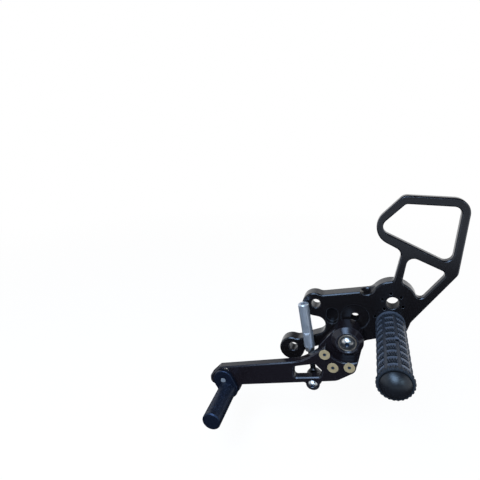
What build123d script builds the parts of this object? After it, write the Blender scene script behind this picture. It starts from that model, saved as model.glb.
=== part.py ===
"""Gear-shift rear set: billet plate with heel guard, footpeg, and a bearing-mounted shift lever.

The plate lies in XZ. +X points to the rear of the motorcycle, +Z is up and the outer side faces -Y.
The origin is the middle of the two frame bolts on the mounting face.
Depths are measured outwards from that face, so a depth of 12 is y = -12. All sizes are millimetres.
"""

import os
from math import atan2, cos, degrees, hypot, radians, sin, sqrt, tan

from build123d import *

# Plate and heel guard
plate_thickness = 12.0
guard_thickness = 6.0
same_place = 0.01
edge_chamfer = 1.0
mouth_bevel = 0.5
inside_radius = 4.0
frame_hole_spacing = 52.3
frame_hole_angle = 68.4
frame_hole_radius = 4.25
upper_boss_radius = 11.6
upper_boss_dx = -1.0
upper_boss_dz = -1.4
lower_boss_radius = 11.9
lower_boss_dx = -1.2
lower_boss_dz = -2.6
pivot_rim = 2.0
lower_arm_width = 12.0
arm_top_x = 44.0
arm_top_z = 40.1
arm_top_slope = 13.1
fork_end_x = 19.6
fork_radius = 8.0
fork_top_z = 10.4
fork_bottom_z = -4.6
guard_height = 96.2
guard_bar = 7.2
guard_front = [(-1.9, 16.2, 1), (2.6, 48.2, 7), (-29.9, 63.3, 16), (-1.2, guard_height, 7)]
guard_rear = [(50.4, guard_height, 13), (48.3, 31.8, 8), (16.8, -16.8, 1), (0, -18.0, 1)]
upper_window_top = [(1.4, guard_height - guard_bar, 3), (43.8, guard_height - guard_bar, 6)]
upper_window_bottom = [(41.9, 40.4, 6), (-19.3, 66.5, 6.8)]
lower_window = [(8.1, 45.0, 6), (40.2, 32.4, 4), (21.8, 5.2, 1), (5.2, 16.2, 1)]
pocket_x = 25.1
pocket_z = 13.9
pocket_radius = 5.5
pocket_run = 5.4
pocket_depth = 6.0
scoop_x = 52.7
scoop_z = 46.8
scoop_radius = 8.1
scoop_inset = 3.0
stop_hole_dx = -13.4
stop_hole_dz = 5.2

# Footpeg and its two positions on the plate
peg_x = 76.2
peg_z = 13.8
peg_position_step = 20.0
peg_hole_radius = 5.5
disc_radius = 20.3
peg_land_radius = 15.6
index_ring_radius = 9.0
index_pin_radius = 1.4
index_count = 6
index_start_angle = 45.0
index_pin_length = 12.0
collar_radius = 12.2
collar_length = 1.6
peg_length = 91.0
tread_radius = 12.35
tread_groove_depth = 1.0
tread_pitch = 9.0
tread_groove_width = 2.2
tread_rows = 10
strip_count = 8
strip_width = 2.6
strip_start_angle = 81.5
rim_length = 3.0
rim_radius = 13.6
rim_notches = 32
rim_notch_radius = 0.9
cap_radius = 10.9
cap_height = 6.5
cap_lip = 0.8
cap_stem_radius = 6.0
cap_stem_length = 12.0
peg_bolt_radius = 5.0
peg_bolt_head_radius = 8.0
peg_bolt_head_height = 10.0
peg_bolt_engagement = 22.0
peg_washer_radius = 10.0
peg_washer_thickness = 2.0

# Lever pivot
pivot_x = 41.0
pivot_z = -0.6
spare_pivot_dx = 4.6
spare_pivot_dz = 16.0
spare_hole_radius = 3.9
spot_face_radius = 12.3
spot_face_depth = 1.2
bearing_bore = 4.0
bearing_outer = 8.0
bearing_width = 5.0
bearing_inner_land = 5.1
bearing_outer_land = 6.9
bearing_ball_radius = 1.2
bearing_balls_each = 9
bearing_seal_thickness = 0.5
running_clearance = 0.05
seal_clearance = 0.1
hub_radius = 14.0
hub_length = 20.0
hub_gap = 1.0
hub_front_chamfer = 4.0
bearing_recess = 1.0
pivot_flange_radius = 5.6
pivot_bolt_radius = 3.0
pivot_bolt_clearance = 0.2
pivot_bolt_engagement = 9.0
pivot_head_radius = 5.7
pivot_head_height = 3.3
pivot_socket = 4.0

# Shift arm
arm_thickness = 8.0
flange_thickness = 9.0
arm_front_setback = 2.0
hub_arc_radius = 21.0
screw_boss_radius = 7.0
arm_screw_offsets = [(-19.1, -15.9), (-10.9, -28.1), (3.6, -25.3)]
arm_screw_radius = 2.5
arm_screw_head_radius = 5.0
arm_screw_socket = 3.0
screw_clearance = 0.15
socket_depth = 1.9
arm_hub_end = [(-6.5, -41.6, 12), (9.2, -29.6, 8), (10.6, -16.4, 2), (-16.6, -6.3, 1.5), (-39.8, -26.8, 40)]
arm_window_front = [(-46.4, -45.8, 3), (-46.4, -33.8, 2.5)]
arm_window_rear = [(-27.4, -27.4, 2.5), (-20.2, -33.8, 2), (-21.6, -40.2, 2)]
toe_dx = -115.5
toe_dz = -60.1
toe_boss_radius = 14.5
toe_boss_dx = 3.0
toe_boss_dz = -4.0
arm_toe_end = [(-5.6, 11.4, 3), (-15.0, 0.4, 5), (-14.6, -9.0, 5), (0, -9.0, 1)]
spare_toe_dx = 1.2
spare_toe_dz = 8.6
spare_toe_radius = 3.4

# Toe peg
toe_flange_thickness = 4.0
toe_flange_radius = 10.2
toe_peg_dx = 4.7
toe_peg_dz = -9.4
toe_peg_radius = 8.6
toe_peg_length = 48.0
toe_groove_pitch = 2.2
toe_groove_depth = 0.35
toe_groove_width = 0.9
toe_screw_radius = 2.5
toe_head_radius = 4.75
toe_head_height = 2.75

# Linkage
eye_dx = -28.0
eye_dz = -49.7
eye_tab_radius = 6.4
rod_lean = 10.7
ball_radius = 5.6
ball_width = 10.9
eye_radius = 7.8
eye_width = 6.4
eye_screw_radius = 2.5
eye_head_radius = 4.75
eye_head_height = 2.75
eye_nut_flats = 8.0
eye_nut_height = 4.0
shank_radius = 2.5
neck_start = 4.5
neck_end = 10.0
neck_radius = 6.2
lock_nut_flats = 8.0
lock_nut_height = 4.0
rod_start = 33.0
rod_length = 44.0
rod_radius = 5.0
rod_thread_radius = 2.5
rod_thread_depth = 18.0
shank_engagement = 14.0
rod_flats = 8.4
rod_flat_length = 6.5
rod_flat_start = 16.0
rod_flat_run_out = 2.2

# Places that follow from the sizes above
upper_hole = (
    frame_hole_spacing / 2 * cos(radians(frame_hole_angle)),
    frame_hole_spacing / 2 * sin(radians(frame_hole_angle)),
)
lower_hole = (-upper_hole[0], -upper_hole[1])
upper_boss = (upper_hole[0] + upper_boss_dx, upper_hole[1] + upper_boss_dz)
lower_boss = (lower_hole[0] + lower_boss_dx, lower_hole[1] + lower_boss_dz)
peg_place = (peg_x, peg_z)
spare_peg_place = (peg_x, peg_z + peg_position_step)
pivot_place = (pivot_x, pivot_z)
spare_pivot_place = (pivot_x + spare_pivot_dx, pivot_z + spare_pivot_dz)
toe_place = (pivot_x + toe_dx, pivot_z + toe_dz)
toe_peg_place = (toe_place[0] + toe_peg_dx, toe_place[1] + toe_peg_dz)
eye_place = (pivot_x + eye_dx, pivot_z + eye_dz)
arm_screw_places = [(pivot_x + dx, pivot_z + dz) for dx, dz in arm_screw_offsets]
hub_back = plate_thickness + hub_gap
hub_front = hub_back + hub_length
arm_front = hub_front - arm_front_setback
arm_back = arm_front - arm_thickness
bearing_front = hub_front - bearing_recess
rear_bearing_start = hub_back + bearing_recess / 2
front_bearing_start = bearing_front - bearing_width
eye_depth = arm_back - ball_width / 2
spot_floor = plate_thickness - spot_face_depth
collar_end = plate_thickness + collar_length
peg_end = plate_thickness + peg_length
rim_start = peg_end - rim_length


def out(depth):
    """Sketch plane parallel to the mounting face, facing outwards."""
    return Plane.XZ.offset(depth)


def disc(place, radius, start, end):
    """Round bar square to the plate."""
    return extrude(out(start) * Pos(*place) * Circle(radius), amount=end - start)


def ring(place, outer, inner, start, end):
    """Tube square to the plate."""
    return disc(place, outer, start, end) - disc(place, inner, start, end)


def hexagon(place, flats, start, end):
    """Hexagonal bar square to the plate, given across its flats."""
    outline = RegularPolygon(flats / 2, 6, major_radius=False)
    return extrude(out(start) * Pos(*place) * outline, amount=end - start)


def cone(place, start_radius, end_radius, start, end):
    """Tapered round bar square to the plate."""
    bar = Cone(start_radius, end_radius, end - start, align=(Align.CENTER, Align.CENTER, Align.MIN))
    return out(start) * Pos(*place) * bar


def rounded(corners):
    """Flat outline through (x, z, radius) corners, each rounded by a tangent arc."""
    edges = []
    starts = []
    ends = []
    count = len(corners)
    for index, (x, z, radius) in enumerate(corners):
        before = Vector(*corners[index - 1][:2]) - Vector(x, z)
        after = Vector(*corners[(index + 1) % count][:2]) - Vector(x, z)
        half_turn = radians(180 - before.get_angle(after)) / 2
        reach = radius * tan(half_turn)
        start = Vector(x, z) + before.normalized() * reach
        end = Vector(x, z) + after.normalized() * reach
        bisector = (before.normalized() + after.normalized()).normalized()
        middle = Vector(x, z) + bisector * (radius / cos(half_turn) - radius)
        edges.append(ThreePointArc(start, middle, end))
        starts.append(start)
        ends.append(end)
    edges += [Line(ends[index - 1], starts[index]) for index in range(count)]
    return make_face(edges)


def bevelled_hole(place, radius, start, end):
    """Round recess with a small bevel at its mouth."""
    mouth = cone(place, radius, radius + mouth_bevel, end - mouth_bevel, end)
    return disc(place, radius, start, end) + mouth


def from_place(place, dx, dz):
    """Point at an offset from a place."""
    return (place[0] + dx, place[1] + dz)


def rounded_from(place, corners):
    """Polygon whose corners are offsets from a place, each with its own radius."""
    return rounded([from_place(place, dx, dz) + (radius,) for dx, dz, radius in corners])


def link(place_a, radius_a, place_b, radius_b):
    """Flat strap with two round ends and straight tangent sides."""
    circles = [Pos(*place_a) * Circle(radius_a), Pos(*place_b) * Circle(radius_b)]
    return make_hull([edge for circle in circles for edge in circle.edges()])


def bar_between(place_a, place_b, width):
    """Straight flat bar from one place to another."""
    run = hypot(place_b[0] - place_a[0], place_b[1] - place_a[1])
    turn = degrees(atan2(place_b[1] - place_a[1], place_b[0] - place_a[0]))
    strip = Rectangle(run, width, align=(Align.MIN, Align.CENTER))
    return Pos(*place_a) * Rot(0, 0, turn) * strip


def soften(outline, radius):
    """Round every inside corner of a flat outline."""
    grown = offset(outline, amount=radius, kind=Kind.ARC)
    return offset(grown, amount=-radius, kind=Kind.ARC)


def front_edges(solid, depth):
    """Edges that lie in the plane at this depth."""
    return solid.edges().filter_by_position(Axis.Y, -depth - same_place, -depth + same_place)


def around(place, radius, angle):
    """Point on a circle about a place."""
    return (place[0] + radius * cos(radians(angle)), place[1] + radius * sin(radians(angle)))


def index_places(place):
    """Ring of small holes that an index pin can enter."""
    step = 360 / index_count
    return [around(place, index_ring_radius, index_start_angle + step * i) for i in range(index_count)]


def button_screw(place, shank_radius, head_radius, head_height, socket, seat, tip):
    """Button-head screw with a domed head outside the seat and a hexagon socket."""
    dome_radius = (head_radius**2 + head_height**2) / (2 * head_height)
    direction = 1 if tip < seat else -1
    top = seat + direction * head_height
    ball = out(top - direction * dome_radius) * Pos(*place) * Sphere(dome_radius)
    low, high = sorted((seat, top))
    head = disc(place, head_radius, low, high) & ball
    shank = disc(place, shank_radius, *sorted((tip, seat)))
    recess = hexagon(place, socket, *sorted((top, top - direction * socket_depth)))
    return head + shank - recess


# Billet plate with the heel guard cut from the same block
def arm_top(x):
    """Point on the sloping top edge of the upper arm."""
    return (x, arm_top_z + (x - arm_top_x) * tan(radians(arm_top_slope)))


def plate_outline():
    """Outline of the full-thickness part: two frame bosses, pivot area and peg disc."""
    bosses = Pos(*upper_boss) * Circle(upper_boss_radius) + Pos(*lower_boss) * Circle(lower_boss_radius)
    lower_arm = bar_between(lower_hole, pivot_place, lower_arm_width)
    peg_area = link(spare_peg_place, disc_radius, peg_place, peg_land_radius)
    pivot_area = Pos(*pivot_place) * Circle(hub_radius + pivot_rim)
    web = make_face(
        Polyline(
            (fork_end_x, fork_top_z),
            (upper_boss[0], upper_boss[1] - upper_boss_radius),
            arm_top(upper_boss[0]),
            arm_top(spare_peg_place[0]),
            (peg_x, peg_z - peg_land_radius + pivot_rim),
            (pivot_x + hub_radius, pivot_z - hub_radius / 2),
            (pivot_x - hub_radius / 2, pivot_z - hub_radius),
            (fork_end_x, fork_bottom_z),
            close=True,
        )
    )
    return bosses + lower_arm + peg_area + pivot_area + web


def guard_outline():
    """Open heel guard: an outer rim, a cross bar and two legs that run into the peg disc."""
    rim = rounded_from(spare_peg_place, guard_front + guard_rear)
    upper = rounded_from(spare_peg_place, upper_window_top + upper_window_bottom)
    return rim - upper - rounded_from(spare_peg_place, lower_window)


def build_main_plate():
    body = soften(plate_outline(), fork_radius)
    face = soften(body + guard_outline(), inside_radius)
    plate = extrude(out(0) * body, amount=plate_thickness)
    guard_back = plate_thickness - guard_thickness
    plate += extrude(out(guard_back) * face, amount=guard_thickness)
    plate = chamfer(front_edges(plate, plate_thickness), edge_chamfer)
    scoop_mouth = sqrt(scoop_radius**2 - scoop_inset**2)
    scoop_place = (scoop_x, scoop_z)
    plate -= out(plate_thickness - scoop_inset) * Pos(*scoop_place) * Sphere(scoop_radius)
    bevel_start = plate_thickness - edge_chamfer
    plate -= cone(scoop_place, scoop_mouth, scoop_mouth + edge_chamfer, bevel_start, plate_thickness)
    for place in (upper_hole, lower_hole):
        plate -= bevelled_hole(place, frame_hole_radius, 0, plate_thickness)
    for place in (peg_place, spare_peg_place):
        plate -= bevelled_hole(place, peg_hole_radius, 0, plate_thickness)
        for hole in index_places(place):
            plate -= disc(hole, index_pin_radius, plate_thickness - index_pin_length / 2, plate_thickness)
    stop_hole = from_place(peg_place, stop_hole_dx, stop_hole_dz)
    plate -= disc(stop_hole, index_pin_radius, plate_thickness - index_pin_length / 2, plate_thickness)
    pocket_ends = [(pocket_x, pocket_z + side * pocket_run / 2) for side in (-1, 1)]
    pocket = link(pocket_ends[0], pocket_radius, pocket_ends[1], pocket_radius)
    plate -= extrude(out(plate_thickness - pocket_depth) * pocket, amount=pocket_depth)
    for place in (pivot_place, spare_pivot_place):
        plate -= bevelled_hole(place, spot_face_radius, spot_floor, plate_thickness)
    plate -= disc(pivot_place, pivot_bolt_radius, spot_floor - pivot_bolt_engagement, plate_thickness)
    plate -= disc(spare_pivot_place, spare_hole_radius, 0, plate_thickness)
    return plate


# Footpeg: treaded barrel, end cap, bolt from behind and index pin
def tread_strip(index):
    """Bar along the barrel where the tread is left uncut."""
    angle = strip_start_angle + 360 / strip_count * index
    strip = Box(4 * tread_groove_depth, strip_width, rim_start - collar_end)
    on_barrel = Rot(0, 0, angle) * Pos(tread_radius, 0, (collar_end + rim_start) / 2)
    return out(0) * Pos(*peg_place) * on_barrel * strip


def tread_groove(row):
    """Groove that ends one row of the tread, broken by the plain strips."""
    end = collar_end + (row + 1) * tread_pitch
    groove = ring(peg_place, tread_radius, tread_radius - tread_groove_depth, end - tread_groove_width, end)
    return groove - [tread_strip(index) for index in range(strip_count)]


def build_footpeg_barrel():
    barrel = disc(peg_place, tread_radius, collar_end, rim_start)
    barrel -= [tread_groove(row) for row in range(tread_rows - 1)]
    barrel += disc(peg_place, collar_radius, plate_thickness, collar_end)
    rim = disc(peg_place, rim_radius, rim_start, peg_end)
    rim = chamfer(front_edges(rim, peg_end), edge_chamfer)
    for index in range(rim_notches):
        notch = around(peg_place, rim_radius + rim_notch_radius / 3, 360 / rim_notches * index)
        rim -= disc(notch, rim_notch_radius, rim_start, peg_end)
    barrel += rim
    barrel -= disc(peg_place, peg_bolt_radius, plate_thickness, plate_thickness + peg_bolt_engagement)
    barrel -= disc(peg_place, cap_stem_radius, peg_end - cap_stem_length, peg_end)
    pin_place = index_places(peg_place)[0]
    barrel -= disc(pin_place, index_pin_radius, plate_thickness, plate_thickness + index_pin_length / 2)
    return barrel


def build_footpeg_end_cap():
    dome_radius = (cap_radius**2 + cap_height**2) / (2 * cap_height)
    dome_center = peg_end + cap_lip + cap_height - dome_radius
    ball = out(dome_center) * Pos(*peg_place) * Sphere(dome_radius)
    dome = disc(peg_place, cap_radius, peg_end + cap_lip, peg_end + cap_lip + cap_height) & ball
    lip = disc(peg_place, cap_radius, peg_end, peg_end + cap_lip)
    stem = disc(peg_place, cap_stem_radius, peg_end - cap_stem_length, peg_end)
    return dome + lip + stem


def build_footpeg_bolt():
    head_end = -peg_washer_thickness
    head_start = head_end - peg_bolt_head_height
    head = disc(peg_place, peg_bolt_head_radius, head_start, head_end)
    head = chamfer(front_edges(head, head_start), edge_chamfer)
    shank = disc(peg_place, peg_bolt_radius, head_end, plate_thickness + peg_bolt_engagement)
    socket = hexagon(peg_place, peg_bolt_head_radius, head_start, head_start + peg_bolt_head_height / 2)
    return head + shank - socket


def build_footpeg_washer():
    return ring(peg_place, peg_washer_radius, peg_bolt_radius, -peg_washer_thickness, 0)


def build_footpeg_index_pin():
    start = plate_thickness - index_pin_length / 2
    return disc(index_places(peg_place)[0], index_pin_radius, start, start + index_pin_length)


# Pivot: flanged sleeve, two ball bearings and a button-head bolt
def build_pivot_sleeve():
    flange = disc(pivot_place, pivot_flange_radius, spot_floor, rear_bearing_start)
    tube = disc(pivot_place, bearing_bore, rear_bearing_start, bearing_front)
    bore = disc(pivot_place, pivot_bolt_radius + pivot_bolt_clearance, spot_floor, bearing_front)
    return flange + tube - bore


def build_bearing_spacer():
    start = rear_bearing_start + bearing_width
    return ring(pivot_place, bearing_inner_land, bearing_bore, start, front_bearing_start)


def bearing_starts():
    return (rear_bearing_start, front_bearing_start)


def ball_track(start):
    """Ring-shaped groove that the balls of one bearing run in."""
    middle = (bearing_inner_land + bearing_outer_land) / 2
    tube = Torus(middle, bearing_ball_radius + running_clearance)
    return out(start + bearing_width / 2) * Pos(*pivot_place) * tube


def build_bearing_inner_rings():
    rings = []
    for start in bearing_starts():
        blank = ring(pivot_place, bearing_inner_land, bearing_bore, start, start + bearing_width)
        rings.append(blank - ball_track(start))
    return Compound(rings)


def build_bearing_outer_rings():
    rings = []
    for start in bearing_starts():
        blank = ring(pivot_place, bearing_outer, bearing_outer_land, start, start + bearing_width)
        rings.append(blank - ball_track(start))
    return Compound(rings)


def build_bearing_balls():
    middle = (bearing_inner_land + bearing_outer_land) / 2
    balls = []
    for start in bearing_starts():
        for index in range(bearing_balls_each):
            place = around(pivot_place, middle, 360 / bearing_balls_each * index)
            balls.append(out(start + bearing_width / 2) * Pos(*place) * Sphere(bearing_ball_radius))
    return Compound(balls)


def build_bearing_seals():
    seals = []
    for start in bearing_starts():
        for low in (start, start + bearing_width - bearing_seal_thickness):
            inner = bearing_inner_land + seal_clearance
            seals.append(ring(pivot_place, bearing_outer_land, inner, low, low + bearing_seal_thickness))
    return Compound(seals)


def build_pivot_bolt():
    tip = spot_floor - pivot_bolt_engagement
    return button_screw(
        pivot_place,
        pivot_bolt_radius,
        pivot_head_radius,
        pivot_head_height,
        pivot_socket,
        bearing_front,
        tip,
    )


# Lever: bearing hub with a flange, arm screwed onto it, eccentric toe peg
def build_lever_hub():
    circles = [Pos(*pivot_place) * Circle(hub_radius)]
    circles += [Pos(*place) * Circle(screw_boss_radius) for place in arm_screw_places]
    outline = make_hull([edge for circle in circles for edge in circle.edges()])
    hub = extrude(out(arm_back - flange_thickness) * outline, amount=flange_thickness)
    barrel = disc(pivot_place, hub_radius, hub_back, hub_front)
    hub += chamfer(front_edges(barrel, hub_front), hub_front_chamfer)
    rear_seat_end = rear_bearing_start + bearing_width
    hub -= disc(pivot_place, bearing_outer, hub_back, rear_seat_end)
    hub -= disc(pivot_place, bearing_outer_land, rear_seat_end, front_bearing_start)
    hub -= disc(pivot_place, bearing_outer, front_bearing_start, hub_front)
    hub -= cone(pivot_place, bearing_outer, bearing_outer + bearing_recess, bearing_front, hub_front)
    for place in arm_screw_places:
        hub -= disc(place, arm_screw_radius, arm_back - flange_thickness, arm_back)
    return hub


def countersunk_screw(place, clearance=0.0):
    """Flat-head screw flush with the arm, with its threaded end in the hub flange."""
    head_depth = arm_screw_head_radius - arm_screw_radius
    head = cone(place, arm_screw_radius, arm_screw_head_radius, arm_front - head_depth, arm_front)
    shank = disc(place, arm_screw_radius + clearance, arm_back - flange_thickness, arm_front - head_depth)
    return head + shank


def arm_outline():
    """Outline of the arm: hub end, slim bar with an angled web, eye tab and round toe end."""
    toe_corners = [(toe_dx + dx, toe_dz + dz, radius) for dx, dz, radius in arm_toe_end]
    blade = rounded_from(pivot_place, arm_hub_end + toe_corners)
    toe_end = Pos(*from_place(toe_place, toe_boss_dx, toe_boss_dz)) * Circle(toe_boss_radius)
    eye_tab = Pos(*eye_place) * Circle(eye_tab_radius)
    around_hub = Pos(*pivot_place) * Circle(hub_arc_radius)
    return soften(blade + toe_end + eye_tab, inside_radius / 2) - around_hub


def build_shift_arm():
    window = rounded_from(pivot_place, arm_window_front + arm_window_rear)
    arm = extrude(out(arm_back) * (arm_outline() - window), amount=arm_thickness)
    arm = chamfer(front_edges(arm, arm_front), edge_chamfer)
    for place in arm_screw_places:
        arm -= countersunk_screw(place, screw_clearance)
    arm -= disc(eye_place, eye_screw_radius + screw_clearance, arm_back, arm_front)
    arm -= disc(toe_place, toe_screw_radius + screw_clearance, arm_back, arm_front)
    spare = from_place(toe_place, spare_toe_dx, spare_toe_dz)
    arm -= disc(spare, spare_toe_radius, arm_back, arm_front)
    return arm


def build_arm_screws():
    screws = []
    for place in arm_screw_places:
        socket = hexagon(place, arm_screw_socket, arm_front - socket_depth, arm_front)
        screws.append(countersunk_screw(place) - socket)
    return Compound(screws)


def build_toe_peg():
    flange_outline = link(toe_place, toe_flange_radius, toe_peg_place, toe_flange_radius)
    flange = extrude(out(arm_front) * flange_outline, amount=toe_flange_thickness)
    flange = chamfer(front_edges(flange, arm_front + toe_flange_thickness), edge_chamfer / 2)
    start = arm_front + toe_flange_thickness
    end = start + toe_peg_length
    barrel = disc(toe_peg_place, toe_peg_radius, start, end)
    barrel = chamfer(front_edges(barrel, end), edge_chamfer)
    grooves = int((toe_peg_length - 2 * toe_groove_pitch) / toe_groove_pitch)
    for index in range(grooves):
        groove = start + toe_groove_pitch * (index + 1)
        floor = toe_peg_radius - toe_groove_depth
        barrel -= ring(toe_peg_place, toe_flange_radius, floor, groove, groove + toe_groove_width)
    return flange + barrel - disc(toe_place, toe_screw_radius, arm_front, start)


def build_toe_peg_screw():
    tip = arm_front + toe_flange_thickness
    return button_screw(
        toe_place, toe_screw_radius, toe_head_radius, toe_head_height, arm_screw_socket, arm_back, tip
    )


# Linkage: ball eye under the arm, lock nut and the rod up to the gearbox
def along_rod(distance):
    """Plane square to the rod, at a distance from the ball centre."""
    lean = radians(rod_lean)
    direction = Vector(-sin(lean), 0, cos(lean))
    center = Vector(eye_place[0], -eye_depth, eye_place[1]) + direction * distance
    return Plane(origin=center, x_dir=(0, 1, 0), z_dir=direction)


def rod_piece(radius, start, end):
    """Round bar on the rod's own axis."""
    return extrude(along_rod(start) * Circle(radius), amount=end - start)


def build_rod_end_ball():
    low = eye_depth - ball_width / 2
    ball = out(eye_depth) * Pos(*eye_place) * Sphere(ball_radius)
    return (ball & disc(eye_place, ball_radius, low, arm_back)) - disc(
        eye_place, eye_screw_radius, low, arm_back
    )


def build_rod_end_screw():
    tip = eye_depth - ball_width / 2 - eye_nut_height
    return button_screw(
        eye_place, eye_screw_radius, eye_head_radius, eye_head_height, arm_screw_socket, arm_front, tip
    )


def build_rod_end_nut():
    end = eye_depth - ball_width / 2
    start = end - eye_nut_height
    return hexagon(eye_place, eye_nut_flats, start, end) - disc(eye_place, eye_screw_radius, start, end)


def build_rod_end_body():
    eye = disc(eye_place, eye_radius, eye_depth - eye_width / 2, eye_depth + eye_width / 2)
    on_end = (Align.CENTER, Align.CENTER, Align.MIN)
    taper = Cone(neck_radius, shank_radius, neck_end - neck_start, align=on_end)
    slab = disc(eye_place, neck_end * 2, eye_depth - eye_width / 2, eye_depth + eye_width / 2)
    neck = along_rod(neck_start) * taper & slab
    shank = rod_piece(shank_radius, eye_radius / 2, rod_start + shank_engagement)
    socket = out(eye_depth) * Pos(*eye_place) * Sphere(ball_radius + running_clearance)
    return eye + neck + shank - socket


def build_rod_lock_nut():
    start = along_rod(rod_start - lock_nut_height)
    outline = RegularPolygon(lock_nut_flats / 2, 6, major_radius=False) - Circle(shank_radius)
    return extrude(start * outline, amount=lock_nut_height)


def rod_flat_cutter(side):
    """Cutter for the spanner flat on one side of the rod, with a sloping run-out at its lower end."""
    low = rod_start + rod_flat_start
    high = low + rod_flat_length
    run_out = low - rod_flat_run_out
    floor = rod_flats / 2
    corners = [(run_out, rod_radius), (low, floor), (high, floor), (high, rod_radius)]
    base = along_rod(0)
    side_plane = Plane(origin=base.origin, x_dir=base.z_dir, z_dir=base.y_dir)
    outline = make_face(Polyline(*[(along, side * height) for along, height in corners], close=True))
    return extrude(side_plane * outline, amount=rod_radius, both=True)


def build_link_rod():
    rod_end = rod_start + rod_length
    rod = rod_piece(rod_radius, rod_start, rod_end)
    ends = rod.edges().filter_by(GeomType.CIRCLE)
    rod = chamfer(ends, edge_chamfer / 2)
    rod -= rod_piece(shank_radius, rod_start, rod_start + shank_engagement)
    rod -= rod_piece(rod_thread_radius, rod_end - rod_thread_depth, rod_end)
    for side in (-1, 1):
        rod -= rod_flat_cutter(side)
    return rod


NODES = {
    "main_plate": build_main_plate,
    "footpeg_barrel": build_footpeg_barrel,
    "footpeg_end_cap": build_footpeg_end_cap,
    "footpeg_bolt": build_footpeg_bolt,
    "footpeg_washer": build_footpeg_washer,
    "footpeg_index_pin": build_footpeg_index_pin,
    "pivot_sleeve": build_pivot_sleeve,
    "bearing_spacer": build_bearing_spacer,
    "bearing_inner_rings": build_bearing_inner_rings,
    "bearing_outer_rings": build_bearing_outer_rings,
    "bearing_balls": build_bearing_balls,
    "bearing_seals": build_bearing_seals,
    "pivot_bolt": build_pivot_bolt,
    "lever_hub": build_lever_hub,
    "shift_arm": build_shift_arm,
    "arm_screws": build_arm_screws,
    "toe_peg": build_toe_peg,
    "toe_peg_screw": build_toe_peg_screw,
    "rod_end_ball": build_rod_end_ball,
    "rod_end_screw": build_rod_end_screw,
    "rod_end_nut": build_rod_end_nut,
    "rod_end_body": build_rod_end_body,
    "rod_lock_nut": build_rod_lock_nut,
    "link_rod": build_link_rod,
}

os.makedirs("parts", exist_ok=True)
for name, build in NODES.items():
    export_step(build(), f"parts/{name}.step")
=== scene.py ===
import math

import bpy
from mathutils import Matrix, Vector


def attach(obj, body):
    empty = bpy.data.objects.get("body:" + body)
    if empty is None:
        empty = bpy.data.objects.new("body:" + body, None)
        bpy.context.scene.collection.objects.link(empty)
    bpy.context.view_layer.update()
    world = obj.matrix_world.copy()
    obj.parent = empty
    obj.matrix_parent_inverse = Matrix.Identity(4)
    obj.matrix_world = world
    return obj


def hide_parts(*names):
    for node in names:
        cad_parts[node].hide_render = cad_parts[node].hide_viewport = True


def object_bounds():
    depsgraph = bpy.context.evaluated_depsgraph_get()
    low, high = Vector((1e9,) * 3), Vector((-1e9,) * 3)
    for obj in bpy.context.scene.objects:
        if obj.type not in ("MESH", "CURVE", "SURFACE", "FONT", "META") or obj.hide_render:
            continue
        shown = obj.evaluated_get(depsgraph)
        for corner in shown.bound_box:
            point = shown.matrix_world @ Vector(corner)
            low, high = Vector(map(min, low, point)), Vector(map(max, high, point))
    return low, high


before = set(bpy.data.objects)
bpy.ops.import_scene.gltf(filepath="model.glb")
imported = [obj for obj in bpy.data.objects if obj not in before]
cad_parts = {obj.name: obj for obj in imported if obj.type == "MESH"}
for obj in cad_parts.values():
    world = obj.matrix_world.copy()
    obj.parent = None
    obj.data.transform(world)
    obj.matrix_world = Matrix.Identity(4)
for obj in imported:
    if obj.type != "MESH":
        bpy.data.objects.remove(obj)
cad_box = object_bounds()
bpy.ops.object.select_all(action="DESELECT")

# The camera stands in front of the outer side, a little to the right of it and above it, as in
# the photograph. The lens is moderately wide, for a small object at arm's length.
camera_place = (0.04322, -0.37197, 0.19763)
camera_turn = math.radians(16.57)
camera_drop = math.radians(17.447)
bpy.ops.object.camera_add(
    location=camera_place, rotation=(math.pi / 2 - camera_drop, 0, camera_turn)
)
camera = bpy.context.object
camera.name = "photo_camera"
camera.data.lens = 31.5
camera.data.sensor_width = 36
bpy.context.scene.camera = camera
bpy.context.scene.view_settings.view_transform = "Standard"


# A plain matt floor, low enough for the lever's whole stroke, shows as white as the photograph's
# background. The class below writes all the shaders of this file: it wraps one socket, and sums on
# it become Math nodes.
class Field:
    def __init__(self, tree, socket):
        self.tree = tree
        self.socket = socket

    def node(self, kind, settings=None, sockets=None, output=0):
        made = self.tree.nodes.new(kind)
        for name, value in (settings or {}).items():
            setattr(made, name, value)
        for name, value in (sockets or {}).items():
            if isinstance(value, Field):
                self.tree.links.new(value.socket, made.inputs[name])
            else:
                made.inputs[name].default_value = value
        return Field(self.tree, made.outputs[output])

    def math(self, operation, first, second=0.0):
        return self.node("ShaderNodeMath", {"operation": operation}, {0: first, 1: second})

    def __add__(self, other):
        return self.math("ADD", self, other)

    def __sub__(self, other):
        return self.math("SUBTRACT", self, other)

    def __mul__(self, other):
        return self.math("MULTIPLY", self, other)

    def __radd__(self, other):
        return self.math("ADD", other, self)

    def __rsub__(self, other):
        return self.math("SUBTRACT", other, self)

    def __rmul__(self, other):
        return self.math("MULTIPLY", other, self)

    def __gt__(self, other):
        return self.math("GREATER_THAN", self, other)

    def __lt__(self, other):
        return self.math("LESS_THAN", self, other)


def background_seen(field):
    """1 for the rays that see the pale background: straight, in a gloss or through glass."""
    path = field.node("ShaderNodeLightPath")
    outputs = path.socket.node.outputs
    seen = path.math("MAXIMUM", path, Field(field.tree, outputs["Is Glossy Ray"]))
    return seen.math("MAXIMUM", seen, Field(field.tree, outputs["Is Transmission Ray"]))


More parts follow.
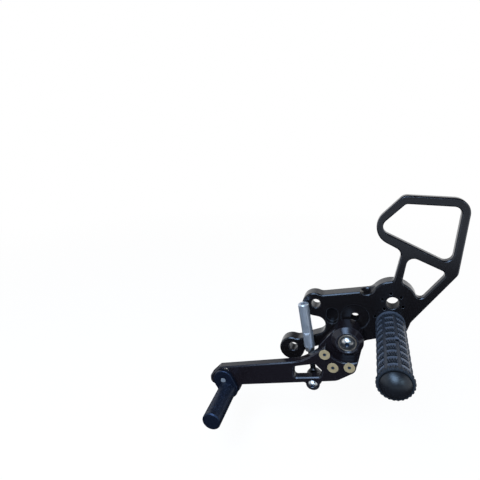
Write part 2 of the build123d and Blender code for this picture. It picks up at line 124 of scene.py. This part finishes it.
lever_drop = 0.040
floor_height = cad_box[0][2] - lever_drop
floor_size = 6.0
floor_color = (0.86, 0.86, 0.86, 1)
floor_glow = (0.90, 1.0)
floor_fade = (0.25, 1.0)
bpy.ops.mesh.primitive_plane_add(size=floor_size, location=(0, 0, floor_height))
floor = bpy.context.object
floor.name = "floor"
bpy.ops.object.transform_apply(location=True)
floor_paint = bpy.data.materials.new("pale_floor")
floor_paint.use_nodes = True
floor_tree = floor_paint.node_tree
floor_out = floor_tree.nodes["Material Output"]
floor_tree.nodes.remove(floor_tree.nodes["Principled BSDF"])
floor_field = Field(floor_tree, None)
floor_matt = floor_field.node("ShaderNodeBsdfDiffuse", None, {"Color": floor_color})
floor_white = floor_field.node("ShaderNodeEmission", None, {"Strength": 1.0})
floor_place = floor_field.node("ShaderNodeTexCoord", output="Object")
floor_far = floor_field.node(
    "ShaderNodeVectorMath", {"operation": "LENGTH"}, {0: floor_place}, output="Value"
)
floor_glowing = floor_field.node(
    "ShaderNodeMapRange",
    None,
    {
        "Value": floor_far,
        "From Min": floor_fade[0],
        "From Max": floor_fade[1],
        "To Min": floor_glow[0],
        "To Max": floor_glow[1],
    },
)
floor_seen = background_seen(floor_field) * floor_glowing
floor_mixed = floor_field.node(
    "ShaderNodeMixShader", None, {0: floor_seen, 1: floor_matt, 2: floor_white}
)
floor_tree.links.new(floor_mixed.socket, floor_out.inputs["Surface"])
floor.data.materials.append(floor_paint)

# Studio light: an even pale room, a bluish window over the photographer's shoulder and a small one
# to the right of it, a bluish soft box above on the left, and a weak warm one from behind.
room_light = 0.45
room_color = (1, 1, 1, 1)
world = bpy.data.worlds.new("studio_room")
world.use_nodes = True
bpy.context.scene.world = world
world_tree = world.node_tree
world_field = Field(world_tree, None)
room_dim = world_field.node(
    "ShaderNodeBackground", None, {"Color": room_color, "Strength": room_light}
)
room_white = world_field.node("ShaderNodeBackground", None, {"Color": room_color, "Strength": 1.0})
room_seen = background_seen(world_field)
room = world_field.node("ShaderNodeMixShader", None, {0: room_seen, 1: room_dim, 2: room_white})
world_tree.links.new(room.socket, world_tree.nodes["World Output"].inputs["Surface"])


def soft_box(name, place, aim, size, watts, color):
    bpy.ops.object.light_add(type="AREA", location=place)
    lamp = bpy.context.object
    lamp.name = name
    lamp.data.size = size
    lamp.data.energy = watts
    lamp.data.color = color
    lamp.visible_camera = False
    back = lamp.location - Vector(aim)
    lamp.rotation_euler = back.to_track_quat("Z", "Y").to_euler()


soft_box("front_window", (-0.10, -1.05, 0.88), (0.05, -0.03, 0.02), 0.75, 20.0, (0.66, 0.82, 1.0))
soft_box("side_window", (0.80, -0.90, 0.55), (0.05, -0.03, 0.02), 0.22, 2.5, (0.72, 0.90, 1.0))
soft_box("blue_top_box", (-0.28, -0.48, 0.74), (0.04, -0.03, 0.01), 0.42, 4.0, (0.60, 0.78, 1.0))
soft_box("warm_back_box", (0.55, 0.50, 0.60), (0.03, -0.02, 0.02), 0.45, 1.5, (1.0, 0.93, 0.82))

# A dark card lies on the floor in front, and dark cloths hang behind the camera and overhead, as a
# photographer sets them for a black product. Only reflections see them, so faces stay deep black.
dark_shade = (0.02, 0.02, 0.025, 1)
card_lift = 0.001
cloth_lift = 0.81


def dark_sheet(name, size, place, tilt):
    bpy.ops.mesh.primitive_plane_add(size=1, location=place, rotation=(tilt, 0, 0))
    sheet = bpy.context.object
    sheet.name = name
    sheet.scale = (*size, 1)
    bpy.ops.object.transform_apply(location=True, rotation=True, scale=True)
    paint = bpy.data.materials.new(name)
    paint.use_nodes = True
    shader = paint.node_tree.nodes["Principled BSDF"]
    shader.inputs["Base Color"].default_value = dark_shade
    shader.inputs["Specular IOR Level"].default_value = 0.0
    sheet.data.materials.append(paint)
    sheet.visible_camera = False
    sheet.visible_diffuse = False
    sheet.visible_shadow = False
    sheet.visible_transmission = False


dark_sheet("dark_card", (0.90, 0.80), (-0.02, -0.20, floor_height + card_lift), 0)
dark_sheet("dark_cloth", (3.2, 1.6), (0.0, -1.60, floor_height + cloth_lift), math.pi / 2)
dark_sheet("dark_ceiling", (3.2, 4.2), (0.0, 0.50, 1.30), 0)


# The plate with its heel guard is milled from one aluminium block and anodised satin black. The
# cutter leaves a fine grain under the black, its sharp edges are painted paler, partly as wear and
# partly as a painted highlight, and the insides of two bores are painted dark as shade.
def finish(name):
    """New material with its field and its Principled shader."""
    made = bpy.data.materials.new(name)
    made.use_nodes = True
    return made, Field(made.node_tree, None), made.node_tree.nodes["Principled BSDF"]


def feed(field, shader, **sockets):
    """Links or sets the shader's sockets, written with _ for a space."""
    for name, value in sockets.items():
        socket = shader.inputs[name.replace("_", " ").title().replace("Ior", "IOR")]
        if isinstance(value, Field):
            field.tree.links.new(value.socket, socket)
        else:
            socket.default_value = value


def object_place(field):
    """Object coordinates, in metres, in the frame of the whole object."""
    return field.node("ShaderNodeTexCoord", output="Object")


def split_place(field):
    """The three object coordinates as separate fields."""
    split = field.node("ShaderNodeSeparateXYZ", None, {"Vector": object_place(field)})
    return [Field(field.tree, output) for output in split.socket.node.outputs]


def in_bore(field, axis, reach, depth):
    """1 inside a bore or a key socket: near an axis along Y, and deeper than its mouth."""
    x, y, z = split_place(field)
    across = x - axis[0]
    upward = z - axis[1]
    return (across * across + upward * upward < reach * reach) * (y > depth)


def noise(field, place, scale, detail=3.0):
    sockets = {"Vector": place, "Scale": scale, "Detail": detail}
    return field.node("ShaderNodeTexNoise", None, sockets)


def mix_color(field, factor, first, second):
    sockets = {"Factor": factor, 6: first, 7: second}
    return field.node("ShaderNodeMix", {"data_type": "RGBA"}, sockets, output=2)


def soft_edges(field, radius, height=None, distance=0.0):
    """Normal with rounded edges, and with a bump where a height is given."""
    corner_samples = 10
    rounded = field.node("ShaderNodeBevel", {"samples": corner_samples}, {"Radius": radius})
    if height is None:
        return rounded
    sockets = {"Height": height, "Distance": distance, "Normal": rounded}
    return field.node("ShaderNodeBump", None, sockets)


def edge_wear_and_highlight(field, radius):
    """0 on flat faces, rising to 1 on sharp edges."""
    full_edge_mark = 0.12
    flat = field.node("ShaderNodeNewGeometry", output="Normal")
    sockets = {0: soft_edges(field, radius), 1: flat}
    alike = field.node(
        "ShaderNodeVectorMath", {"operation": "DOT_PRODUCT"}, sockets, output="Value"
    )
    return field.node("ShaderNodeMapRange", None, {"Value": 1 - alike, "From Max": full_edge_mark})


def anodised_black(
    name, base, worn_and_lit, grain_scale, tint=(0.72, 0.82, 1.0, 1), edge=0.0006, rough=0.17
):
    """Black over a fine grain, with edges painted paler in patches, as wear and as a painted
    highlight.
    """
    cloud_scale = 40.0
    grain_depth = 0.000001
    wear_and_highlight_width = 0.8 * edge
    least_wear_and_highlight = 0.35
    made, field, shader = finish(name)
    place = object_place(field)
    grain = noise(field, place, grain_scale)
    cloud = noise(field, place, cloud_scale)
    # Painted highlight and wear: sharp edges are mixed towards the paler colour, in patches.
    wear_and_highlight = edge_wear_and_highlight(field, wear_and_highlight_width) * (least_wear_and_highlight + (1 - least_wear_and_highlight) * cloud)
    feed(
        field,
        shader,
        base_color=mix_color(field, wear_and_highlight, base, worn_and_lit),
        roughness=rough + 0.06 * cloud + 0.015 * grain,
        normal=soft_edges(field, edge, grain, grain_depth),
        specular_ior_level=0.45,
        specular_tint=tint,
    )
    return made


plate_black = anodised_black(
    "anodised_plate", (0.0042, 0.0034, 0.0036, 1), (0.055, 0.063, 0.08, 1), grain_scale=2600.0
)


def dress(material, *nodes):
    """Gives CAD nodes this material alone."""
    for node in nodes:
        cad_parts[node].data.materials.clear()
        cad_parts[node].data.materials.append(material)


dress(plate_black, "main_plate")
tapped_hole = (0.0456, 0.0154)
tapped_reach = 0.0040
spare_peg_hole = (0.0762, 0.0338)
spare_peg_reach = 0.0057
plate_face = -0.012
spare_peg_shade = 0.65
bore_shade_color = (0.004, 0.004, 0.005, 1)
plate_tree = plate_black.node_tree
plate_field = Field(plate_tree, None)
plate_gloss = Field(plate_tree, plate_tree.nodes["Principled BSDF"].outputs["BSDF"])
# Painted shade: inside the tapped hole and the spare peg hole the plate is mixed towards a dark
# matt shader.
painted_bore_shade = plate_field.node("ShaderNodeBsdfDiffuse", None, {"Color": bore_shade_color})
in_tapped = in_bore(plate_field, tapped_hole, tapped_reach, plate_face)
in_spare_peg = in_bore(plate_field, spare_peg_hole, spare_peg_reach, plate_face)
painted_bore_shade_mask = in_tapped + spare_peg_shade * in_spare_peg
plate_mixed = plate_field.node(
    "ShaderNodeMixShader", None, {0: painted_bore_shade_mask, 1: plate_gloss, 2: painted_bore_shade}
)
plate_tree.links.new(plate_mixed.socket, plate_tree.nodes["Material Output"].inputs["Surface"])

# The hub and the shift arm are milled apart and screwed together, and come from the same black
# bath, so they share the plate's finish with a slightly finer grain and paler painted edge
# highlights.
lever_black = anodised_black(
    "anodised_lever", (0.0066, 0.0050, 0.0066, 1), (0.100, 0.115, 0.15, 1), grain_scale=3400.0
)
dress(lever_black, "lever_hub", "shift_arm")


# The pivot is a ground steel sleeve and spacer with two small bearings. Their rings and balls are
# bright ground steel, and a dark rubber seal closes each side.
def steel(name, base, dark, rough, spread, line_scale, metallic=1.0):
    """Metal with fine cutter or grinding lines across Y and soft stains."""
    cut_scale = 300.0
    cut_depth = 0.000006
    stain_scale = 160.0
    edge = 0.00025
    made, field, shader = finish(name)
    place = object_place(field)
    stretch = {"Vector": place, "Scale": (1.0, line_scale, 1.0)}
    lines = noise(field, field.node("ShaderNodeMapping", None, stretch), cut_scale, detail=2.0)
    stain = noise(field, place, stain_scale)
    feed(
        field,
        shader,
        metallic=metallic,
        base_color=mix_color(field, stain, base, dark),
        roughness=rough + spread * lines,
        normal=soft_edges(field, edge, lines, cut_depth),
    )
    return made


ground_steel = steel(
    "ground_steel",
    (0.80, 0.73, 0.62, 1),
    (0.70, 0.64, 0.54, 1),
    rough=0.34,
    spread=0.08,
    line_scale=14.0,
)
dress(
    ground_steel,
    "pivot_sleeve",
    "bearing_spacer",
    "bearing_inner_rings",
    "bearing_outer_rings",
    "bearing_balls",
)
seal_rubber, seal_field, seal_shader = finish("seal_rubber")
seal_dark = (0.010, 0.010, 0.011, 1)
seal_pale = (0.022, 0.022, 0.024, 1)
seal_edge = 0.0001
seal_grain_depth = 0.000015
seal_grain = noise(seal_field, object_place(seal_field), scale=1800.0)
feed(
    seal_field,
    seal_shader,
    base_color=mix_color(seal_field, seal_grain, seal_dark, seal_pale),
    roughness=0.50 + 0.15 * seal_grain,
    normal=soft_edges(seal_field, seal_edge, seal_grain, seal_grain_depth),
)
dress(seal_rubber, "bearing_seals")


# The pivot bolt and the rod-end screw are polished stainless button heads. Their key sockets are
# pressed, and are painted dark inside as shade. The rod end's ball is polished too, and the toe
# peg's screw is plain stainless, cut off flush in front.
def button_head(name, axis, reach, depth):
    """Stainless with a key socket painted dark as shade, given by its axis, half width and mouth.
    """
    head_edge = 0.0003
    cloud_scale = 240.0
    painted_key_shade = (0.05, 0.08, 0.13, 1)
    made, field, shader = finish(name)
    cloud = noise(field, object_place(field), cloud_scale)
    # Painted shade: inside the key socket the colour is mixed towards a dark bluish tone.
    socket = in_bore(field, axis, reach, depth)
    bright = mix_color(field, cloud, (0.56, 0.59, 0.62, 1), (0.44, 0.47, 0.50, 1))
    feed(
        field,
        shader,
        metallic=1.0,
        base_color=mix_color(field, socket, bright, painted_key_shade),
        roughness=0.28 + 0.08 * cloud + 0.12 * socket,
        normal=soft_edges(field, head_edge),
    )
    return made


pivot_polish = button_head(
    "polished_pivot_bolt", axis=(0.0410, -0.0006), reach=0.00232, depth=-0.0347
)
dress(pivot_polish, "pivot_bolt")
eye_polish = button_head(
    "polished_eye_screw", axis=(0.0130, -0.0503), reach=0.00174, depth=-0.0333
)
dress(eye_polish, "rod_end_screw")
polished_steel = steel(
    "polished_stainless",
    (0.74, 0.75, 0.76, 1),
    (0.60, 0.61, 0.63, 1),
    rough=0.14,
    spread=0.08,
    line_scale=6.0,
)
dress(polished_steel, "rod_end_ball")
plain_steel = steel(
    "plain_stainless",
    (0.30, 0.33, 0.38, 1),
    (0.22, 0.25, 0.30, 1),
    rough=0.40,
    spread=0.10,
    line_scale=8.0,
    metallic=0.5,
)
dress(plain_steel, "toe_peg_screw")

# Three countersunk screws hold the arm on the hub. They are bead-blasted stainless, so their faces
# look pale and matt, with no mirror, and their key sockets are painted dark as shade.
arm_face = -0.0309
blasted_painted_key_shade = (0.04, 0.06, 0.09, 1)
blasted_edge = 0.0002
blasted_grain_depth = 0.00001
blasted_steel, blasted_field, blasted_shader = finish("blasted_stainless")
blasted_place = object_place(blasted_field)
blasted_grain = noise(blasted_field, blasted_place, scale=5200.0)
blasted_cloud = noise(blasted_field, blasted_place, scale=220.0)
# Painted shade: everything deeper than the head's face, that is the key socket, is painted dark.
blasted_painted_socket = split_place(blasted_field)[1] > arm_face
blasted_pale = mix_color(
    blasted_field, blasted_cloud, (0.53, 0.42, 0.25, 1), (0.44, 0.345, 0.20, 1)
)
feed(
    blasted_field,
    blasted_shader,
    metallic=0.6,
    base_color=mix_color(blasted_field, blasted_painted_socket, blasted_pale, blasted_painted_key_shade),
    roughness=0.38 + 0.14 * blasted_grain,
    normal=soft_edges(blasted_field, blasted_edge, blasted_grain, blasted_grain_depth),
)
dress(blasted_steel, "arm_screws")

# The toe peg is turned from bar with an offset flange and close grip rings, and anodised black.
# Its edges and ring crests are painted paler, partly as wear from boots and partly as a painted
# highlight.
toe_black = anodised_black(
    "anodised_toe_peg",
    (0.0036, 0.0050, 0.0100, 1),
    (0.060, 0.075, 0.110, 1),
    grain_scale=3000.0,
    tint=(0.34, 0.52, 1.0, 1),
    edge=0.00012,
    rough=0.36,
)
dress(toe_black, "toe_peg")

# The rod end is forged steel, blackened in oil. The lock nut above it and the nut behind it are
# zinc plated.
dark_steel = steel(
    "blackened_steel",
    (0.050, 0.052, 0.060, 1),
    (0.030, 0.031, 0.036, 1),
    rough=0.32,
    spread=0.12,
    line_scale=6.0,
)
dress(dark_steel, "rod_end_body")
plated_steel = steel(
    "plated_steel",
    (0.66, 0.69, 0.74, 1),
    (0.52, 0.55, 0.60, 1),
    rough=0.28,
    spread=0.12,
    line_scale=8.0,
)
dress(plated_steel, "rod_lock_nut", "rod_end_nut")

# The link rod is turned from bright aluminium bar, with two flats for a spanner and a tapped hole
# in each end.
rod_aluminium = steel(
    "turned_aluminium",
    (0.66, 0.73, 0.84, 1),
    (0.55, 0.61, 0.71, 1),
    rough=0.28,
    spread=0.10,
    line_scale=5.0,
    metallic=0.86,
)
dress(rod_aluminium, "link_rod")

# The footpeg is turned from aluminium bar and anodised black. Ten rows of grip are cut into it in
# eight sectors, each a plain lip and two staggered rows of teeth. Plain strips part the sectors,
# the upper one with a small locking stud, and the rim is notched.
peg_axis = (0.0762, 0.0138)
peg_start = 0.0120
peg_end = 0.1030
peg_facets = 156
collar_end = 0.0149
collar_radius = 0.0125
collar_round = 0.0004
tread_start = 0.0136
tread_pitch = 0.0090
tread_rows = 10
tread_crest = 0.01235
tread_floor = 0.0110
tread_root = 0.0105
tread_sectors = 8
strip_width = 0.0026
strip_drop = 0.0003
strip_angle = math.radians(81.5)
pad_length = 0.0068
pad_teeth = 4
pad_steps = 6
lip_steps = 2
tooth_depth = 0.0010
lip_rise = 0.00025
rim_start = 0.1000
rim_radius = 0.0136
rim_round = 0.0010
rim_notches = 26
notch_reach = 0.0128
notch_half = 0.25
notch_squeeze = 0.945
cap_seat_radius = 0.0113
cap_seat_depth = 0.0008
cap_seat_taper = 0.0002


def turned_bar(name, steps):
    """Round bar along -Y: a filled circle, extruded and widened from step to step."""
    bpy.ops.object.select_all(action="DESELECT")
    depth, radius = steps[0]
    bpy.ops.mesh.primitive_circle_add(
        vertices=peg_facets,
        radius=radius,
        fill_type="NGON",
        location=(peg_axis[0], -depth, peg_axis[1]),
        rotation=(math.pi / 2, 0, 0),
    )
    bar = bpy.context.object
    bar.name = name
    bpy.ops.object.transform_apply(location=True, rotation=True)
    bpy.ops.object.mode_set(mode="EDIT")
    bpy.ops.mesh.select_all(action="SELECT")
    for next_depth, next_radius in steps[1:]:
        advance = (0, depth - next_depth, 0)
        ratio = next_radius / radius
        middle = (peg_axis[0], -next_depth, peg_axis[1])
        bpy.ops.mesh.extrude_region_move(TRANSFORM_OT_translate={"value": advance})
        bpy.ops.transform.resize(value=(ratio, 1, ratio), center_override=middle)
        depth, radius = next_depth, next_radius
    bpy.ops.mesh.select_all(action="SELECT")
    bpy.ops.mesh.normals_make_consistent(inside=False)
    bpy.ops.object.mode_set(mode="OBJECT")
    return bar


def pick(mesh, wanted):
    """Selects the vertices of a mesh whose place fits, in edit mode."""
    bpy.ops.object.mode_set(mode="EDIT")
    bpy.ops.mesh.select_mode(type="VERT")
    bpy.ops.mesh.select_all(action="DESELECT")
    bpy.ops.object.mode_set(mode="OBJECT")
    for vertex in mesh.vertices:
        vertex.select = wanted(vertex.co)
    bpy.ops.object.mode_set(mode="EDIT")


barrel = turned_bar(
    "footpeg_toothed_barrel",
    [
        (peg_start, collar_radius - collar_round),
        (peg_start + collar_round, collar_radius),
        (collar_end - collar_round, collar_radius),
        (collar_end, collar_radius - collar_round),
        (collar_end, tread_floor),
        (rim_start, tread_floor),
        (rim_start, rim_radius),
        (peg_end - rim_round, rim_radius),
        (peg_end - 0.3 * rim_round, rim_radius - 0.4 * rim_round),
        (peg_end, rim_radius - rim_round),
        (peg_end, cap_seat_radius),
        (peg_end - cap_seat_depth, cap_seat_radius - cap_seat_taper),
    ],
)
notch_step = 2 * math.pi / rim_notches


def in_notch(place):
    """Places on the rim that lie in a notch, by their angle."""
    across = place.x - peg_axis[0]
    upward = place.z - peg_axis[1]
    aside = abs(math.remainder(math.atan2(upward, across), notch_step))
    return math.hypot(across, upward) > notch_reach and aside < notch_half * notch_step


pick(barrel.data, in_notch)
bpy.ops.transform.resize(
    value=(notch_squeeze, 1, notch_squeeze), center_override=(peg_axis[0], 0, peg_axis[1])
)
bpy.ops.object.mode_set(mode="OBJECT")


def flat_piece(width, length, columns, rows, height):
    """Flat slab on a grid, from which one piece of the tread is shaped."""
    bpy.ops.object.select_all(action="DESELECT")
    bpy.ops.mesh.primitive_grid_add(x_subdivisions=columns, y_subdivisions=rows, size=1)
    slab = bpy.context.object
    slab.scale = (width, length, 1)
    bpy.ops.object.transform_apply(scale=True)
    bpy.ops.object.mode_set(mode="EDIT")
    bpy.ops.mesh.select_all(action="SELECT")
    bpy.ops.mesh.extrude_region_move(TRANSFORM_OT_translate={"value": (0, 0, height)})
    bpy.ops.object.mode_set(mode="OBJECT")
    return slab


def laid(slab, angle, depth):
    """Copy of a flat slab, wrapped on to the barrel."""
    copy = slab.copy()
    copy.data = slab.data.copy()
    bpy.context.collection.objects.link(copy)
    for vertex in copy.data.vertices:
        x, y, z = vertex.co
        turn = angle + x / tread_crest
        reach = tread_root + z
        across = peg_axis[0] + reach * math.cos(turn)
        upward = peg_axis[1] + reach * math.sin(turn)
        vertex.co = (across, -depth - y, upward)
    return copy


sector_angle = 2 * math.pi / tread_sectors
pad_width = sector_angle * tread_crest - strip_width
pad = flat_piece(pad_width, pad_length, 2 * pad_teeth, pad_steps, tread_crest - tread_root)


def is_valley(place):
    """Every second place of a tooth row, staggered from one row to the next. The lip has none."""
    column = round((place.x / pad_width + 0.5) * 2 * pad_teeth)
    step = round((place.y / pad_length + 0.5) * pad_steps)
    return place.z > 0 and step > lip_steps and (column + (step - 1) // 2) % 2 == 1


pick(pad.data, is_valley)
bpy.ops.transform.translate(value=(0, 0, -tooth_depth))
lip_top = (1 / pad_steps - 0.5) * pad_length
pick(pad.data, lambda place: place.z > 0 and abs(place.y - lip_top) < pad_length / pad_steps / 2)
bpy.ops.transform.translate(value=(0, 0, lip_rise))
bpy.ops.object.mode_set(mode="OBJECT")
strip_columns = 4
strip_length = rim_start - tread_start
strip_height = tread_crest - tread_root - strip_drop
strip = flat_piece(strip_width, strip_length, strip_columns, 1, strip_height)
stud_gap = (0.0565, 0.0630)
pieces = []
for start, end in ((tread_start, stud_gap[0]), (stud_gap[1], rim_start)):
    short_strip = flat_piece(strip_width, end - start, strip_columns, 1, strip_height)
    pieces.append(laid(short_strip, strip_angle, (start + end) / 2))
    bpy.data.objects.remove(short_strip)
for sector in range(tread_sectors):
    angle = strip_angle + sector_angle * sector
    if sector > 0:
        pieces.append(laid(strip, angle, tread_start + strip_length / 2))
    for row in range(tread_rows):
        pad_middle = tread_start + row * tread_pitch + pad_length / 2
        pieces.append(laid(pad, angle + sector_angle / 2, pad_middle))
bpy.data.objects.remove(pad)
bpy.data.objects.remove(strip)
stud_radius = 0.0018
stud_round = 0.0002
stud_facets = 28
stud_depth = 0.0585
stud_rise = 0.0008
stud_lift = 0.0009
stud_reach = tread_floor + stud_lift
bpy.ops.object.select_all(action="DESELECT")
bpy.ops.mesh.primitive_cylinder_add(
    vertices=stud_facets,
    radius=stud_radius,
    depth=2 * stud_rise,
    location=(
        peg_axis[0] + stud_reach * math.cos(strip_angle),
        -stud_depth,
        peg_axis[1] + stud_reach * math.sin(strip_angle),
    ),
    rotation=(0, math.pi / 2 - strip_angle, 0),
)
stud = bpy.context.object
bpy.ops.object.mode_set(mode="EDIT")
bpy.ops.mesh.select_all(action="SELECT")
bpy.ops.mesh.bevel(offset=stud_round, segments=2)
bpy.ops.object.mode_set(mode="OBJECT")
bpy.ops.object.transform_apply(location=True, rotation=True)
pieces.append(stud)
bpy.ops.object.select_all(action="DESELECT")
for piece in [barrel] + pieces:
    piece.select_set(True)
bpy.context.view_layer.objects.active = barrel
bpy.ops.object.join()
bpy.ops.object.mode_set(mode="EDIT")
bpy.ops.mesh.select_all(action="SELECT")
bpy.ops.mesh.normals_make_consistent(inside=False)
bpy.ops.object.mode_set(mode="OBJECT")
smooth_angle = math.radians(28)
bpy.ops.object.shade_smooth_by_angle(angle=smooth_angle)
tread_black, tread_field, tread_shader = finish("anodised_tread")
tread_place = object_place(tread_field)
tread_x, tread_y, tread_z = split_place(tread_field)
tread_across = tread_x - peg_axis[0]
tread_upward = tread_z - peg_axis[1]
tread_reach = tread_field.math("SQRT", tread_across * tread_across + tread_upward * tread_upward)
tread_cloud = noise(tread_field, tread_place, scale=160.0)
tread_grain = noise(tread_field, tread_place, scale=2600.0)
tread_grain_depth = 0.000015
tread_edge = 0.0002
wear_and_highlight_depth = 0.0004
tread_least_wear_and_highlight = 0.6
painted_groove_shade = (0.001, 0.0015, 0.0025, 1)
crest_black = (0.008, 0.0096, 0.0140, 1)
worn_and_lit_shade = (0.065, 0.082, 0.12, 1)


def rising(low, high):
    """0 up to the low distance from the footpeg's axis, rising to 1 at the high one."""
    sockets = {"Value": tread_reach, "From Min": low, "From Max": high}
    return tread_field.node("ShaderNodeMapRange", None, sockets)


# Painted shade: grooves and tooth valleys are painted darker than the crests, by distance from the
# axis.
raised = rising(tread_crest - tooth_depth, tread_crest - strip_drop)
# The lips, crests and collar are painted paler and bluish, partly as wear and partly as a painted
# highlight.
rubbed_and_lit = rising(tread_crest - wear_and_highlight_depth, tread_crest + lip_rise)
on_tread = (tread_reach < tread_crest + 2 * lip_rise) * (tread_y > -rim_start)
worn_and_lit = rubbed_and_lit * on_tread * (tread_least_wear_and_highlight + (1 - tread_least_wear_and_highlight) * tread_cloud)
black_with_painted_groove_shade = mix_color(tread_field, raised, painted_groove_shade, crest_black)
feed(
    tread_field,
    tread_shader,
    base_color=mix_color(tread_field, worn_and_lit, black_with_painted_groove_shade, worn_and_lit_shade),
    roughness=0.34 + 0.12 * tread_cloud + 0.20 * (1 - on_tread) + 0.25 * (1 - raised),
    normal=soft_edges(tread_field, tread_edge, tread_grain, tread_grain_depth),
    specular_ior_level=0.5,
    specular_tint=(0.62, 0.78, 1.0, 1),
)
barrel.data.materials.clear()
barrel.data.materials.append(tread_black)
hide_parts("footpeg_barrel")
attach(barrel, "plate")

# The end cap is a dome of moulded black plastic with a faint mould texture. It is pressed into the
# seat in the barrel's end.
cap_dark = (0.004, 0.004, 0.005, 1)
cap_pale = (0.007, 0.007, 0.009, 1)
cap_edge = 0.0003
cap_grain_depth = 0.000004
cap_plastic, cap_field, cap_shader = finish("cap_plastic")
cap_grain = noise(cap_field, object_place(cap_field), scale=1500.0)
feed(
    cap_field,
    cap_shader,
    base_color=mix_color(cap_field, cap_grain, cap_dark, cap_pale),
    roughness=0.36 + 0.03 * cap_grain,
    normal=soft_edges(cap_field, cap_edge, cap_grain, cap_grain_depth),
    specular_tint=(0.70, 0.84, 1.0, 1),
)
dress(cap_plastic, "footpeg_end_cap")

# A bolt with a washer holds the footpeg from behind the plate, and a pin in an index hole keeps it
# from turning. They are steel, blackened in oil like the rod end.
dress(dark_steel, "footpeg_bolt", "footpeg_washer", "footpeg_index_pin")
